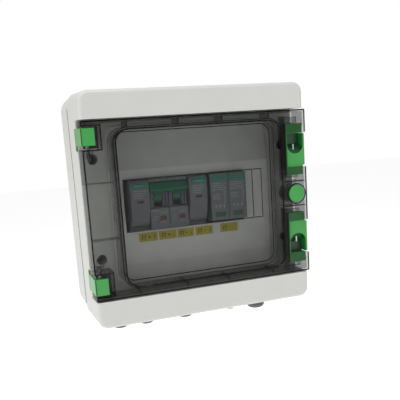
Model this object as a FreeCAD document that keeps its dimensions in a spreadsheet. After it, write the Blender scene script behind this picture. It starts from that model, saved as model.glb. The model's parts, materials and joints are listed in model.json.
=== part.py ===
import FreeCAD, Part
import math
import os
from types import SimpleNamespace

import Sketcher

# DC combiner box for a wall. Millimetres, +Z up, +X to the right as seen from the front.
# The origin is the centre of the flat back, which lies on the wall plane Y = 0.
# Heights above the wall, called "rise" below, are measured along -Y.

SIZES = {
    "case_width": 206.0,
    "case_height": 203.0,
    "case_depth": 97.0,
    "base_depth": 42.5,
    "base_corner": 15.0,
    "shell_corner": 10.0,
    "shell_draft": 1.5,
    "wall_thick": 3.0,
    "skin": 2.4,
    "seal_thick": 0.8,
    "recess_depth": 24.0,
    "recess_top": 77.0,
    "recess_bottom": 76.2,
    "well_half_width": 79.8,
    "well_half_height": 71.0,
    "well_corner": 6.5,
    "well_shift": 2.2,
    "panel_rise": 59.0,
    "panel_thick": 2.0,
    "crease_top": 31.5,
    "crease_bottom": 54.7,
    "aperture_left": 62.6,
    "aperture_right": 55.0,
    "aperture_top": 23.15,
    "aperture_bottom": 24.9,
    "door_left": 101.6,
    "door_right": 103.3,
    "door_top": 75.9,
    "door_bottom": 75.1,
    "door_skirt": 22.2,
    "door_plate": 2.0,
    "window_half_width": 75.6,
    "window_half_height": 66.9,
    "window_corner": 11.0,
    "window_depth": 21.0,
    "window_shift": 2.4,
    "hinge_left": 96.5,
    "hinge_rise": 92.0,
    "pin_radius": 1.6,
    "notch_reach": 86.0,
    "notch_height": 52.5,
    "clip_low": 55.8,
    "clip_high": 70.0,
    "latch_left": 84.2,
    "latch_drop": 1.2,
    "latch_window_low": 25.2,
    "latch_window_high": 55.9,
    "latch_low": 17.7,
    "latch_high": 64.7,
    "latch_travel": 5.0,
    "button_right": 92.5,
    "button_drop": 0.8,
    "button_radius": 8.0,
    "screw_right": 90.0,
    "screw_up": 44.0,
    "rail_rise": 3.0,
    "rail_half": 17.5,
    "rail_tall": 7.5,
    "module_back": 6.0,
    "module_shoulder": 54.5,
    "module_half": 42.0,
    "module_front_top": 22.5,
    "module_front_bottom": 24.3,
    "fuse_width": 18.2,
    "fuse_left_edge": 59.5,
    "fuse_right_edge": 4.0,
    "breaker_left_edge": 41.1,
    "breaker_width": 36.0,
    "surge_left_edge": 17.9,
    "surge_width": 36.6,
    "toggle_up": 6.0,
    "toggle_rise": 57.0,
    "gland_rise": 26.0,
    "wall_hole_half": 82.0,
    "wall_hole_radius": 2.75,
    "wire_radius": 2.1,
    "earth_bar_up": 68.0,
    "drain_right": 24.0,
    "drain_rise": 84.0,
    "carrier_pivot_rise": 60.0,
    "carrier_pivot_drop": 18.5,
}
GLAND_PLACES = (-70.0, -43.3, -2.5)
LARGE_GLAND_PLACE = 77.0
KNOCKOUT_PLACES = (-60.0, 0.5, 60.0)
RAIL_SCREW_PLACES = ((-66.0, 0), (66.0, 0))
EARTH_CLAMP = 45.35
LATCH_MIDDLE = 93.4
SIDES = {"upper": 1, "lower": -1}

doc = FreeCAD.newDocument("combiner_box")
sheet = doc.addObject("Spreadsheet::Sheet", "sizes")
for row, (alias, value) in enumerate(SIZES.items(), start=1):
    sheet.set(f"A{row}", alias)
    sheet.set(f"B{row}", str(value))
    sheet.setAlias(f"B{row}", alias)
doc.recompute()


class Size:
    """A length worked out from the sheet: its value now, and the expression that binds it."""

    def __init__(self, value, text):
        self.value = value
        self.text = text

    def __float__(self):
        return float(self.value)

    def __add__(self, other):
        return Size(float(self) + float(other), f"({self.text} + {text_of(other)})")

    def __radd__(self, other):
        return Size(float(other) + float(self), f"({text_of(other)} + {self.text})")

    def __sub__(self, other):
        return Size(float(self) - float(other), f"({self.text} - {text_of(other)})")

    def __rsub__(self, other):
        return Size(float(other) - float(self), f"({text_of(other)} - {self.text})")

    def __mul__(self, factor):
        return Size(float(self) * factor, f"({self.text} * {factor})")

    __rmul__ = __mul__

    def __neg__(self):
        return self * -1


def text_of(number):
    return number.text if isinstance(number, Size) else str(number)


def sized(number):
    return number if isinstance(number, Size) else Size(number, str(number))


s = SimpleNamespace(**{alias: Size(value, f"sizes.{alias}") for alias, value in SIZES.items()})
half_width = s.case_width * 0.5
half_height = s.case_height * 0.5
seam = s.base_depth + s.seal_thick
floor_rise = s.case_depth - s.recess_depth
plate_back = s.case_depth - s.door_plate
window_back = s.case_depth - s.window_depth - 1.8
nodes = []


# ---------------------------------------------------------------- sketch outlines

def constrain(sketch, kind, where, size):
    """Adds one driving dimension and binds it to the sheet."""
    size = sized(size)
    index = sketch.addConstraint(Sketcher.Constraint(kind, *where, float(size)))
    sketch.setExpression(f"Constraints[{index}]", size.text)


def fix_point(sketch, item, end, x, y):
    """Places a point by its distances from the origin, or on an axis where a distance is nought."""
    for kind, axis, size in (("DistanceX", -2, x), ("DistanceY", -1, y)):
        if float(size) == 0:
            sketch.addConstraint(Sketcher.Constraint("PointOnObject", item, end, axis))
        else:
            constrain(sketch, kind, (-1, 1, item, end), size)


def vector(x, y, z=0.0):
    return FreeCAD.Vector(float(x), float(y), float(z))


def polygon(points):
    """A closed outline of straight sides through the points."""
    def draw(sketch):
        ends = points[1:] + points[:1]
        items = [sketch.addGeometry(Part.LineSegment(vector(*a), vector(*b)))
                 for a, b in zip(points, ends)]
        for item, follower in zip(items, items[1:] + items[:1]):
            sketch.addConstraint(Sketcher.Constraint("Coincident", item, 2, follower, 1))
        for item, (x, y) in zip(items, points):
            fix_point(sketch, item, 1, x, y)
    return draw


def rectangle(x0, y0, x1, y1):
    return polygon([(x0, y0), (x1, y0), (x1, y1), (x0, y1)])


def rounded(x0, y0, x1, y1, radius):
    """A rectangle whose four corners are arcs of one radius."""
    def draw(sketch):
        left, low, right, high, r = (float(v) for v in (x0, y0, x1, y1, radius))
        centres = [(right - r, low + r), (right - r, high - r), (left + r, high - r), (left + r, low + r)]
        starts = [(left + r, low), (right, low + r), (right - r, high), (left, high - r)]
        ends = [(right - r, low), (right, high - r), (left + r, high), (left, low + r)]
        axis = FreeCAD.Vector(0, 0, 1)
        lines, arcs = [], []
        for turn in range(4):
            lines.append(sketch.addGeometry(Part.LineSegment(vector(*starts[turn]), vector(*ends[turn]))))
            circle = Part.Circle(vector(*centres[turn]), axis, r)
            first = math.radians(90 * turn - 90)
            arcs.append(sketch.addGeometry(Part.ArcOfCircle(circle, first, first + math.pi / 2)))
        for turn in range(4):
            sketch.addConstraint(Sketcher.Constraint("Tangent", lines[turn], 2, arcs[turn], 1))
            sketch.addConstraint(Sketcher.Constraint("Tangent", arcs[turn], 2, lines[(turn + 1) % 4], 1))
            level = "Horizontal" if turn % 2 == 0 else "Vertical"
            sketch.addConstraint(Sketcher.Constraint(level, lines[turn]))
        for arc in arcs[1:]:
            sketch.addConstraint(Sketcher.Constraint("Equal", arcs[0], arc))
        constrain(sketch, "Radius", (arcs[0],), radius)
        constrain(sketch, "DistanceY", (-1, 1, lines[0], 1), y0)
        constrain(sketch, "DistanceX", (-1, 1, lines[1], 1), x1)
        constrain(sketch, "DistanceY", (-1, 1, lines[2], 1), y1)
        constrain(sketch, "DistanceX", (-1, 1, lines[3], 1), x0)
    return draw


def circle(x, y, radius):
    def draw(sketch):
        item = sketch.addGeometry(Part.Circle(vector(x, y), FreeCAD.Vector(0, 0, 1), float(radius)))
        fix_point(sketch, item, 3, x, y)
        constrain(sketch, "Radius", (item,), radius)
    return draw


def hexagon(x, y, flats):
    """A hexagon of the given width across its flats."""
    corner = flats / math.sqrt(3)
    angles = [math.radians(60 * turn) for turn in range(6)]
    return polygon([(x + corner * math.cos(a), y + corner * math.sin(a)) for a in angles])


# ---------------------------------------------------------------- features

PLANES = {"out": "XZ_Plane", "up": "XY_Plane", "across": "YZ_Plane"}


def new_body(name):
    body = doc.addObject("PartDesign::Body", name)
    body.Label = name
    body.AllowCompound = True
    nodes.append(body)
    return body


def sketch_at(body, way, level, outlines):
    """A sketch square to the way: "out" from the wall, "up", or "across" to the right."""
    sketch = body.newObject("Sketcher::SketchObject", f"{body.Name}_sketch")
    origin_plane = [f for f in body.Origin.OriginFeatures if f.Role == PLANES[way]][0]
    sketch.AttachmentSupport = [(origin_plane, "")]
    sketch.MapMode = "FlatFace"
    sketch.setExpression("AttachmentOffset.Base.z", sized(level).text)
    for draw in outlines:
        draw(sketch)
    return sketch


def add(body, way, low, high, *outlines, draft=None):
    """Adds the outlines as material from the low level to the high level."""
    pad = body.newObject("PartDesign::Pad", f"{body.Name}_pad")
    pad.Profile = sketch_at(body, way, low, outlines)
    pad.setExpression("Length", sized(high - low).text)
    if draft is not None:
        pad.setExpression("TaperAngle", (-draft).text)
    doc.recompute()
    return pad


def cut(body, way, low, high, *outlines):
    """Cuts the outlines away from the high level down to the low level."""
    before = body.Shape.Volume
    pocket = body.newObject("PartDesign::Pocket", f"{body.Name}_pocket")
    pocket.Profile = sketch_at(body, way, high, outlines)
    pocket.setExpression("Length", sized(high - low).text)
    doc.recompute()
    if not body.Shape.Volume < before - 0.01:
        raise ValueError(f"{body.Name}: a pocket cut nothing")
    return pocket


def soften(body, radius, picks, kind="Fillet"):
    """Rounds or bevels the edges of the body's tip that picks accepts."""
    tip = body.Tip
    names = [f"Edge{i}" for i, edge in enumerate(tip.Shape.Edges, start=1) if picks(edge)]
    if not names:
        raise ValueError(f"{body.Name}: no edge to soften")
    feature = body.newObject(f"PartDesign::{kind}", f"{body.Name}_{kind.lower()}")
    feature.Base = (tip, names)
    feature.setExpression("Radius" if kind == "Fillet" else "Size", sized(radius).text)
    doc.recompute()
    if feature.Shape.isNull() or "Invalid" in feature.State:
        raise ValueError(f"{body.Name}: an edge could not be softened")
    return feature


def rise_of(edge):
    """The rise above the wall of an edge that is square to it, or None."""
    box = edge.BoundBox
    return -box.YMin if box.YLength < 0.01 else None


def at_rise(level, reach=None):
    """Picks edges that lie flat at one rise, and within a box in X and Z if one is given."""
    def picks(edge):
        rise = rise_of(edge)
        if rise is None or abs(rise - float(level)) > 0.02:
            return False
        if reach is None:
            return True
        middle = edge.BoundBox.Center
        return reach[0] < middle.x < reach[1] and reach[2] < middle.z < reach[3]
    return picks


def mirrored(side, near, far):
    """The two heights as given for the upper side, or mirrored for the lower, lowest first."""
    return sorted((side * near, side * far), key=float)


def outward(edge, length):
    """True for a straight edge that runs away from the wall over the given length."""
    box = edge.BoundBox
    return abs(box.YLength - float(length)) < 0.05 and box.XLength < 0.01 and box.ZLength < 0.01


# ---------------------------------------------------------------- enclosure

def case_outline(corner, inset=0.0):
    return rounded(-half_width + inset, -half_height + inset, half_width - inset, half_height - inset,
                   corner - inset)


def cover_screw_places():
    return [(x * s.screw_right, z * s.screw_up) for x in (-1, 1) for z in (-1, 1)]


def circles(places, radius):
    return [circle(x, z, radius) for x, z in places]


def base_casing():
    body = new_body("base_casing")
    floor = s.wall_thick
    add(body, "out", 0, s.base_depth, case_outline(s.base_corner))
    soften(body, 2.0, at_rise(0))
    cut(body, "out", floor, s.base_depth, case_outline(s.base_corner, floor))
    add(body, "out", floor - 0.5, s.base_depth, *circles(cover_screw_places(), 5.0))
    cut(body, "out", 14.0, s.base_depth, *circles(cover_screw_places(), 1.7))
    cut(body, "out", 1.0, floor + 1.0, *circles(RAIL_SCREW_PLACES, 1.7))
    corners = [(x * s.wall_hole_half, z * s.wall_hole_half) for x in (-1, 1) for z in (-1, 1)]
    cut(body, "out", sized(-0.5), 6.5, *circles(corners, s.wall_hole_radius))
    cut(body, "up", -half_height - 1.0, -half_height + 5.0,
        *[circle(x, -s.gland_rise, 6.2) for x in GLAND_PLACES],
        circle(LARGE_GLAND_PLACE, -s.gland_rise, 8.2))
    grooves = [circle(x, -s.gland_rise + 3.0, radius) for x in KNOCKOUT_PLACES for radius in (10.0, 9.2)]
    cut(body, "up", half_height - 0.5, half_height + 1.0, *grooves)


def front_shell():
    """The front half: deep bands above and below, a sunk middle with a well, and two seats for clips."""
    body = new_body("front_shell")
    top, low = s.recess_top, -s.recess_bottom
    add(body, "out", seam, s.case_depth, case_outline(s.shell_corner), draft=s.shell_draft)
    soften(body, 3.6, at_rise(s.case_depth))
    cut(body, "out", floor_rise, s.case_depth + 1.0, rectangle(-120.0, low, 120.0, top))

    def side_edge(edge):
        """True for the long edge where a side wall meets the sunk middle."""
        box = edge.BoundBox
        return (at_rise(floor_rise)(edge) and box.ZLength > 100
                and abs(box.Center.x) > float(half_width) - 3)

    soften(body, 2.2, side_edge)
    cut(body, "out", seam - 1.0, floor_rise - s.skin, case_outline(s.shell_corner, s.wall_thick))
    inset = 4.4
    side, end, corner = half_width - inset, half_height - inset, 4.0
    cut(body, "out", floor_rise - s.skin - 1.0, s.case_depth - s.wall_thick,
        rounded(-side, top + s.skin, side, end, corner),
        rounded(-side, -end, side, low - s.skin, corner))
    rim, pocket = 2.2, 12.0
    add(body, "out", s.panel_rise - pocket, floor_rise, well_outline(rim))
    add(body, "out", seam + 1.2, floor_rise, *circles(cover_screw_places(), 6.2))
    cut(body, "out", s.panel_rise - pocket - 1.0, floor_rise + 1.0, well_outline())
    cut(body, "out", seam + 4.0, floor_rise + 1.0, *circles(cover_screw_places(), 4.6))
    cut(body, "out", seam, seam + 5.0, *circles(cover_screw_places(), 2.2))
    drain = (s.drain_right, -s.drain_rise)
    cut(body, "up", -half_height - 1.0, -half_height + 2.0, circle(*drain, 3.25))
    cut(body, "up", -half_height + 1.0, -half_height + 6.0, circle(*drain, 1.85))
    ledge, reach = s.panel_rise - s.panel_thick, s.well_half_width - 1.0
    middles = [s.well_shift - reach, s.well_shift + reach]
    add(body, "out", ledge - 6.0, ledge, *[rectangle(x - 1.5, -24.0, x + 1.5, 20.0) for x in middles])
    for side in SIDES.values():
        clip_seat(body, side)


def well_outline(grow=0.0):
    """The mouth of the well that holds the panel, larger all round by grow."""
    x, z, middle = s.well_half_width + grow, s.well_half_height + grow, s.well_shift
    return rounded(middle - x, -z, middle + x, z, s.well_corner + grow)


def clip_seat(body, side):
    """A foot for the clip's barrel and a slot down the side wall for its leaf."""
    low, high = mirrored(side, s.clip_low + 1.2, s.clip_high - 1.2)
    add(body, "out", floor_rise - 1.0, s.hinge_rise - 4.6,
        rectangle(-half_width + 3.0, low, -91.0, high))
    low, high = mirrored(side, s.clip_low - 4.3, s.clip_high + 0.3)
    cut(body, "out", s.case_depth - 29.2, floor_rise + 20.0,
        rectangle(-half_width - 2.0, low, -half_width + 2.3, high))


def base_seal():
    body = new_body("base_seal")
    add(body, "out", s.base_depth, seam, case_outline(s.base_corner, 0.9))
    cut(body, "out", s.base_depth - 1.0, seam + 1.0, case_outline(s.base_corner, 2.9))


def cover_screws():
    """Four long screws at the bottom of the wells, cross recess in each head."""
    body = new_body("cover_screws")
    places = cover_screw_places()
    head = seam + 4.0
    add(body, "out", head, head + 2.8, *circles(places, 3.9))
    soften(body, 0.7, at_rise(head + 2.8))
    add(body, "out", 20.0, head, *circles(places, 1.7))
    for across, up in ((2.2, 0.45), (0.45, 2.2)):
        cut(body, "out", head + 1.2, head + 3.2, *slots(places, across, up))


def slots(places, across, up):
    """Rectangles round the places, reaching the given distances to each side."""
    return [rectangle(x - across, z - up, x + across, z + up) for x, z in places]


def dead_front():
    """The panel round the devices: a flat middle with faces that fall away above and below."""
    body = new_body("dead_front")
    rise, thick = s.panel_rise, s.panel_thick
    top, low = s.well_half_height - 0.25, -s.well_half_height + 0.25
    fall_top, fall_low = 6.0, 3.4
    outline = [
        (-(rise - fall_top), top), (-rise, s.crease_top), (-rise, -s.crease_bottom),
        (-(rise - fall_low), low), (-(rise - fall_low - thick), low),
        (-(rise - thick), -s.crease_bottom), (-(rise - thick), s.crease_top),
        (-(rise - fall_top - thick), top),
    ]
    half = s.well_half_width - 0.25
    add(body, "across", s.well_shift - half, s.well_shift + half, polygon(outline))
    cut(body, "out", rise - 12.0, rise + 6.0, rectangle(-90.0, -80.0, 90.0, 80.0),
        rounded(s.well_shift - half, low, s.well_shift + half, top, s.well_corner - 0.25))
    high, bottom = s.aperture_top, -s.aperture_bottom
    cut(body, "out", rise - 12.0, rise + 6.0, rectangle(-s.aperture_left, bottom, s.aperture_right, high))
    slot = 0.9
    for start, end in ((56.3, 65.6), (66.6, 75.4)):
        cut(body, "out", rise - 12.0, rise + 6.0, polygon([
            (start, high), (end, high), (end, bottom), (start, bottom), (start, bottom + slot),
            (end - slot, bottom + slot), (end - slot, high - slot), (start, high - slot)]))
    guard = 1.6
    add(body, "out", s.module_shoulder + 0.3, rise - thick,
        rectangle(-s.aperture_left - guard, high, s.aperture_right, high + guard),
        rectangle(-s.aperture_left - guard, bottom - guard, s.aperture_right, bottom))


def circuit_labels():
    """Five blank marker strips under the devices."""
    body = new_body("circuit_labels")
    spans = ((-51.8, -34.0), (-32.5, -15.5), (-14.4, 1.8), (3.4, 20.8), (29.0, 47.2))
    strips = [rounded(start, -35.1, end, -26.8, 0.5) for start, end in spans]
    add(body, "out", s.panel_rise, s.panel_rise + 0.4, *strips)


def drain_plug():
    body = new_body("drain_plug")
    seat = -half_height + 2.0
    add(body, "up", -half_height - 2.6, seat, circle(s.drain_right, -s.drain_rise, 3.2))
    add(body, "up", seat, seat + 6.0, circle(s.drain_right, -s.drain_rise, 1.8))


# ---------------------------------------------------------------- hinge

def hinge_clip(where, side):
    """A green clip that wraps the corner, carries the hinge pin and locks on the shell's side."""
    body = new_body(f"hinge_clip_{where}")
    low, high = mirrored(side, s.clip_low, s.clip_high)
    pin = (-s.hinge_left, -s.hinge_rise)
    back, front = s.case_depth - 29.0, s.case_depth
    outer = -half_width + 0.9
    inner = outer + 1.2
    add(body, "up", low, high, rectangle(outer, -front, inner, -back))
    add(body, "up", low, high, rectangle(inner - 0.2, -front, -90.5, -front + 1.7))

    def front_corner(edge):
        box = edge.BoundBox
        return box.ZLength > 13 and box.Center.y < -float(front) + 0.1 and box.Center.x < -101.5

    soften(body, 0.8, front_corner)
    add(body, "up", low, high, circle(*pin, 4.3))
    add(body, "up", low, high, rectangle(inner - 0.2, -front + 1.0, pin[0], -front + 5.0))
    tail_start, tail_end = (low - 4.0, low) if side > 0 else (high, high + 4.0)
    add(body, "up", tail_start, tail_end, rectangle(outer, -back - 1.3, inner, -back))
    cut(body, "up", low - 1.0, high + 1.0, circle(*pin, s.pin_radius + 0.02))


def hinge_pins():
    body = new_body("hinge_pins")
    for side in SIDES.values():
        low, high = mirrored(side, s.notch_height - 6.0, s.clip_high - 0.8)
        add(body, "up", low, high, circle(-s.hinge_left, -s.hinge_rise, s.pin_radius))
    soften(body, 0.4, lambda e: e.BoundBox.ZLength < 0.01)


# ---------------------------------------------------------------- door

def door():
    """The smoked door: front plate, skirts, sunk window pan, ribs, notches and latch openings."""
    body = new_body("door")
    left, right, top, low = -s.door_left, s.door_right, s.door_top, -s.door_bottom
    back, front = s.case_depth - s.door_skirt, s.case_depth
    add(body, "out", back, front, rounded(left, low, right, top, 1.2))
    soften(body, 0.7, at_rise(front))
    skirt = 2.0
    cut(body, "out", back, plate_back, rectangle(left + skirt, low + skirt, right - skirt, top - skirt))
    add(body, "out", window_back, plate_back + 0.5, window_outline(2.0))
    door_ribs(body, left, right, top, low, back)
    for side in SIDES.values():
        hinge_corner(body, side, left, back)
        latch_housing(body, side, right)
    button_housing(body)
    cut(body, "out", window_back + 1.8, front + 1.0, window_outline())
    soften(body, 0.5, at_rise(front, (-75.0, 79.5, -69.0, 69.0)), "Chamfer")


def window_outline(grow=0.0):
    """The mouth of the sunk window, larger all round by grow."""
    x, z, middle = s.window_half_width + grow, s.window_half_height + grow, s.window_shift
    return rounded(middle - x, -z, middle + x, z, s.window_corner + grow)


def door_ribs(body, left, right, top, low, back):
    """Stiffening ribs between the pan and the skirts."""
    half = 0.55
    pan_left, pan_right = s.window_shift - s.window_half_width, s.window_shift + s.window_half_width
    pan_end = s.window_half_height + 1.0
    uprights = [rectangle(x - half, pan_end, x + half, top - 1.0) for x in (-63.0, -18.0, 22.5, 67.5)]
    uprights += [rectangle(x - half, low + 1.0, x + half, -pan_end) for x in (-63.0, -19.0, 21.0, 66.0)]
    add(body, "out", back + 2.0, plate_back + 0.5, *uprights)
    levels = [(left + 1.0, pan_left - 1.0, z) for z in (24.0, -24.0)]
    levels += [(pan_right + 1.0, right - 1.0, z) for z in (10.6, -12.2)]
    levels += [(pan_right + 1.0, 83.0, z) for z in (38.0, -40.0)]
    add(body, "out", back + 6.0, plate_back + 0.5,
        *[rectangle(start, z - half, end, z + half) for start, end, z in levels])


def hinge_corner(body, side, left, back):
    """A walled opening for the clip, with an eye for the pin beneath it."""
    pin, wall = (-s.hinge_left, -s.hinge_rise), 1.4
    near, far = s.notch_height, s.clip_high + 1.5
    low, high = mirrored(side, near - wall, far + wall)
    add(body, "out", back + 1.5, plate_back + 0.5, rectangle(left, low, -s.notch_reach + wall, high))
    low, high = mirrored(side, near, far)
    cut(body, "out", back - 1.0, s.case_depth + 1.0, rectangle(left - 2.0, low, -s.notch_reach, high))
    low, high = mirrored(side, s.notch_height - 7.0, s.notch_height)
    add(body, "up", low, high, circle(*pin, 4.2))
    cut(body, "up", low - 1.0, high + 1.0, circle(*pin, s.pin_radius + 0.08))


def latch_span(side, near, far):
    """Two heights of a latch from its distances to the middle of the latch pair, lowest first."""
    return sorted((side * near - s.latch_drop, side * far - s.latch_drop), key=float)


def latch_housing(body, side, right):
    """The window in the plate, the longer slot in the skirt and the guide beside the slider."""
    low, high = latch_span(side, s.latch_low - 4.5, s.latch_high + s.latch_travel + 2.0)
    add(body, "out", s.case_depth - 13.6, plate_back + 0.5,
        rectangle(82.0, low, s.latch_left - 0.4, high))
    low, high = latch_span(side, s.latch_window_low, s.latch_window_high)
    cut(body, "out", plate_back - 1.0, s.case_depth + 1.0,
        rectangle(s.latch_left, low, right + 1.0, high))
    low, high = latch_span(side, s.latch_window_low - 1.0, s.latch_window_high + s.latch_travel + 1.0)
    cut(body, "out", s.case_depth - 14.5, plate_back, rectangle(right - 3.0, low, right + 1.0, high))


def button_housing(body):
    """A guide tube with a floor for the release button."""
    x, z = s.button_right, -s.button_drop
    add(body, "out", s.case_depth - 17.0, plate_back + 0.5, circle(x, z, s.button_radius + 1.9))
    cut(body, "out", s.case_depth - 15.0, s.case_depth + 1.0, circle(x, z, s.button_radius + 0.4))
    cut(body, "out", s.case_depth - 18.0, s.case_depth - 14.0, circle(x, z, 3.2))


def door_seal():
    body = new_body("door_seal")
    clear, thick = 2.0, 1.2
    low, high = floor_rise - 0.8, floor_rise + 3.2
    add(body, "out", low, high, window_outline(clear + thick))
    cut(body, "out", low - 1.0, high + 1.0, window_outline(clear))


def latch(where, side):
    """The sliding latch: a block behind the plate with a finger scoop, a neck and a hooked foot."""
    body = new_body(f"latch_{where}")
    face, back = plate_back - 0.2, s.case_depth - 12.0
    left, inner_right = s.latch_left, s.door_right - 2.4
    low, high = latch_span(side, s.latch_low, s.latch_high)
    add(body, "out", back, face, rectangle(left, low, inner_right, high))
    low, high = latch_span(side, s.latch_window_low + 1.0, s.latch_window_high - 0.4)
    add(body, "out", back, face, rectangle(inner_right - 0.5, low, s.door_right, high))
    soften(body, 1.2, lambda e: outward(e, face - back) and e.BoundBox.Center.x > float(s.door_right) - 0.1)
    soften(body, 0.8, at_rise(face, (float(s.door_right) - 1.5, 110.0, -70.0, 70.0)))
    middle, reach, scoop, arch = LATCH_MIDDLE, 8.1, face - 7.6, 45.3
    low, high = latch_span(side, arch, s.latch_window_high - 0.2)
    cut(body, "out", scoop, face + 1.0, rectangle(middle - reach, low, middle + reach, high))
    cut(body, "out", scoop, face + 1.0, circle(middle, side * arch - s.latch_drop, reach - 0.01))
    ramp = [(scoop - 0.3, 46.7), (face - 1.1, 38.0), (face - 1.1, 36.2), (scoop - 0.3, 36.2)]
    add(body, "across", sized(middle - reach - 0.2), sized(middle + reach + 0.2),
        polygon([(-rise, side * up - s.latch_drop) for rise, up in ramp]))
    low, high = latch_span(side, 38.4, 47.2)
    cut(body, "up", low, high, circle(middle, -(face - 4.2), 0.9))
    low, high = latch_span(side, 43.7, 48.7)
    add(body, "out", floor_rise + 3.0, back + 0.3, rectangle(89.0, low, 96.0, high))
    low, high = latch_span(side, 43.7, 56.5)
    add(body, "out", floor_rise + 3.0, floor_rise + 6.0, rectangle(88.0, low, 97.0, high))


def latch_pin(where, side):
    """A steel detent pin that lies on the scoop's ramp."""
    body = new_body(f"latch_pin_{where}")
    low, high = latch_span(side, 38.4, 45.8)
    add(body, "up", low, high, circle(LATCH_MIDDLE, -(plate_back - 4.4), 0.9))


def latch_plate(where, side):
    """The retaining plate behind the slider, with a slot for its neck."""
    body = new_body(f"latch_plate_{where}")
    back, front = s.case_depth - 13.8, s.case_depth - 12.3
    low, high = latch_span(side, s.latch_low - 2.9, s.latch_high + 6.1)
    add(body, "out", back, front, rectangle(s.latch_left - 0.4, low, s.door_right - 2.0, high))
    low, high = latch_span(side, 43.0, 54.6)
    cut(body, "out", back - 1.0, front + 1.0, rectangle(88.4, low, 96.6, high))


def latch_keepers():
    """Two hooks on the recess floor that the latch feet slide behind."""
    body = new_body("latch_keepers")
    for side in SIDES.values():
        low, high = latch_span(side, 62.4, 65.4)
        add(body, "out", floor_rise, floor_rise + 6.6, rectangle(87.0, low, 98.0, high))
        low, high = latch_span(side, 58.0, 65.4)
        add(body, "out", floor_rise + 6.5, floor_rise + 8.3, rectangle(87.0, low, 98.0, high))


def release_button():
    body = new_body("release_button")
    x, z = s.button_right, -s.button_drop
    front = s.case_depth + 0.4
    add(body, "out", front - 6.0, front, circle(x, z, s.button_radius))
    soften(body, 0.8, at_rise(front))
    add(body, "out", s.case_depth - 19.5, front - 6.0, circle(x, z, 2.9))


def button_retainer():
    body = new_body("button_retainer")
    x, z = s.button_right, -s.button_drop
    low = s.case_depth - 18.6
    add(body, "out", low, low + 1.2, circle(x, z, 4.4))
    cut(body, "out", low - 1.0, low + 2.0, circle(x, z, 2.9))


def button_spring():
    """A compression spring of round wire round the button's stem."""
    feature = doc.addObject("Part::Feature", "button_spring")
    pitch, turns, radius, wire = 2.25, 3.6, 4.6, 0.4
    low = float(s.case_depth) - 14.9 + wire
    helix = Part.makeHelix(pitch, pitch * turns, radius)
    start = helix.Edges[0].valueAt(helix.Edges[0].FirstParameter)
    tangent = helix.Edges[0].tangentAt(helix.Edges[0].FirstParameter)
    profile = Part.Wire([Part.makeCircle(wire, start, tangent)])
    feature.Shape = Part.Wire(helix.Edges).makePipeShell([profile], True, True)
    feature.Label = "button_spring"
    feature.Placement = FreeCAD.Placement(
        vector(s.button_right, -low, -float(s.button_drop)),
        FreeCAD.Rotation(FreeCAD.Vector(1, 0, 0), 90))
    nodes.append(feature)


# ---------------------------------------------------------------- rail and devices

def din_rail():
    body = new_body("din_rail")
    base, tall, half = s.rail_rise, s.rail_tall, s.rail_half
    brim = base + tall
    outline = [
        (-base, -12.5), (-brim + 1.0, -12.5), (-brim + 1.0, -half), (-brim, -half), (-brim, -11.5),
        (-base - 1.0, -11.5), (-base - 1.0, 11.5), (-brim, 11.5), (-brim, half), (-brim + 1.0, half),
        (-brim + 1.0, 12.5), (-base, 12.5)]
    add(body, "across", sized(-78.0), sized(78.0), polygon(outline))

    def brim_corner(edge):
        box = edge.BoundBox
        return (box.XLength > 100 and abs(abs(box.Center.z) - 11.5) < 0.05
                and box.Center.y < -float(brim) + 0.05)

    soften(body, 0.8, brim_corner)
    places = (-66.0, -44.0, -22.0, 22.0, 44.0, 66.0)
    cut(body, "out", base - 1.0, base + 2.0, *[rounded(x - 6.0, -2.6, x + 6.0, 2.6, 2.55) for x in places])


def rail_screws():
    body = new_body("rail_screws")
    head = s.rail_rise + 1.0
    add(body, "out", head, head + 2.4, *circles(RAIL_SCREW_PLACES, 3.6))
    soften(body, 0.6, at_rise(head + 2.4))
    add(body, "out", 1.4, head, *circles(RAIL_SCREW_PLACES, 1.7))
    cut(body, "out", head + 1.0, head + 3.0, *slots(RAIL_SCREW_PLACES, 2.4, 0.45))


def module_profile(front):
    """The side outline of a rail device: feet, rail notch, shoulders and a raised front."""
    back, shoulder = s.module_back, s.module_shoulder
    half, notch = s.module_half, s.rail_half + 0.7
    top, low = s.module_front_top, -s.module_front_bottom
    seat = s.rail_rise + s.rail_tall + 0.05
    return polygon([
        (-back, -half), (-shoulder, -half), (-shoulder, low), (-front, low), (-front, top),
        (-shoulder, top), (-shoulder, half), (-back, half), (-back, notch), (-seat, notch),
        (-seat, -notch), (-back, -notch)])


def terminal_holes(body, centres):
    """Wire entries in the top and bottom, and screw wells in the shoulders."""
    half, shoulder, reach = s.module_half, s.module_shoulder, 4.2
    wires = [rounded(x - reach, -38.5, x + reach, -30.5, 2.0) for x in centres]
    cut(body, "up", half - 9.0, half + 1.0, *wires)
    cut(body, "up", -half - 1.0, -half + 9.0, *wires)
    cut(body, "out", shoulder - 9.0, shoulder + 1.0, *circles(terminal_places(centres), 3.2))


def terminal_places(centres):
    return [(x, side * 36.0) for x in centres for side in (-1, 1)]


def terminal_screws(centres):
    body = new_body("terminal_screws")
    top = s.module_shoulder - 5.0
    places = terminal_places(centres)
    add(body, "out", top - 4.0, top, *circles(places, 2.9))
    soften(body, 0.5, at_rise(top))
    cut(body, "out", top - 1.2, top + 1.0, *slots(places, 2.3, 0.4))


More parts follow.
